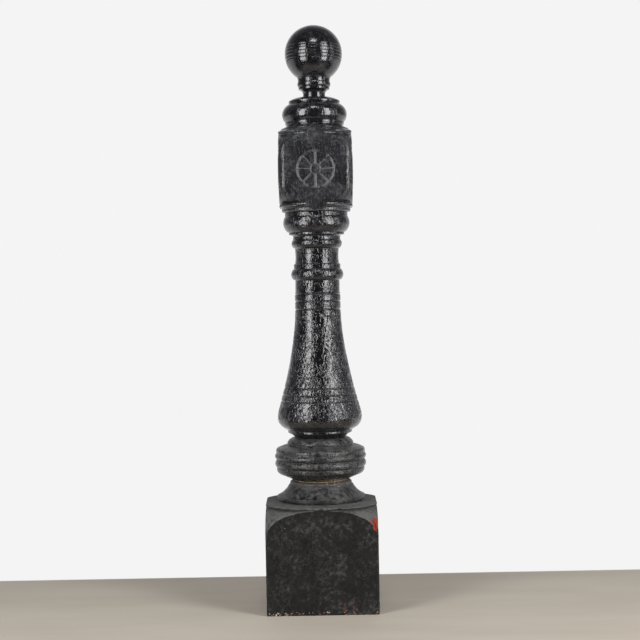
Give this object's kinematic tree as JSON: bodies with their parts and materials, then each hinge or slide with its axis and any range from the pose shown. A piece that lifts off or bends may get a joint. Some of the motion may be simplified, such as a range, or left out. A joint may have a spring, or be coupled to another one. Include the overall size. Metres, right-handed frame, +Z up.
{
  "type": "newel post",
  "caption": "Turned wooden newel post with a square base block, bell-shaped shaft, square upper block with wheel rosettes and a ball finial, in worn black paint.",
  "frame": {"origin": "centre of the underside, on the floor", "axes": "+Z up along the turning axis, -Y towards the front face with its rosette, +X to the right of it"},
  "size_m": [0.232, 0.232, 1.219],
  "materials": {
    "gloss_black_paint": "many thick brushed coats of gloss black paint over turned softwood, wrinkled and chipped",
    "dull_black_paint": "thinner, dull and dusty black paint over softwood, worn to red and brown at the edges",
    "dowel_hardwood": "bare hardwood",
    "iron": "dark iron with a little rust",
    "putty": "dry cream putty"
  },
  "bodies": {
    "root": {"ball_finial": "gloss_black_paint", "cap_moulding": "gloss_black_paint", "upper_block": "gloss_black_paint", "front_rosette": "gloss_black_paint", "right_rosette": "gloss_black_paint", "back_rosette": "gloss_black_paint", "left_rosette": "gloss_black_paint", "shaft": "gloss_black_paint", "collar": "gloss_black_paint", "plinth_cap": "dull_black_paint", "plinth_block": "dull_black_paint", "finial_dowel": "dowel_hardwood", "cap_dowels": "dowel_hardwood", "block_dowels": "dowel_hardwood", "shaft_dowels": "dowel_hardwood", "collar_dowels": "dowel_hardwood", "plinth_dowels": "dowel_hardwood", "tie_rod": "iron", "top_nut": "iron", "top_washer": "iron", "bottom_nut": "iron", "bottom_washer": "iron", "rosette_pins": "iron", "putty_bed": "putty"}
  },
  "joints": []
}
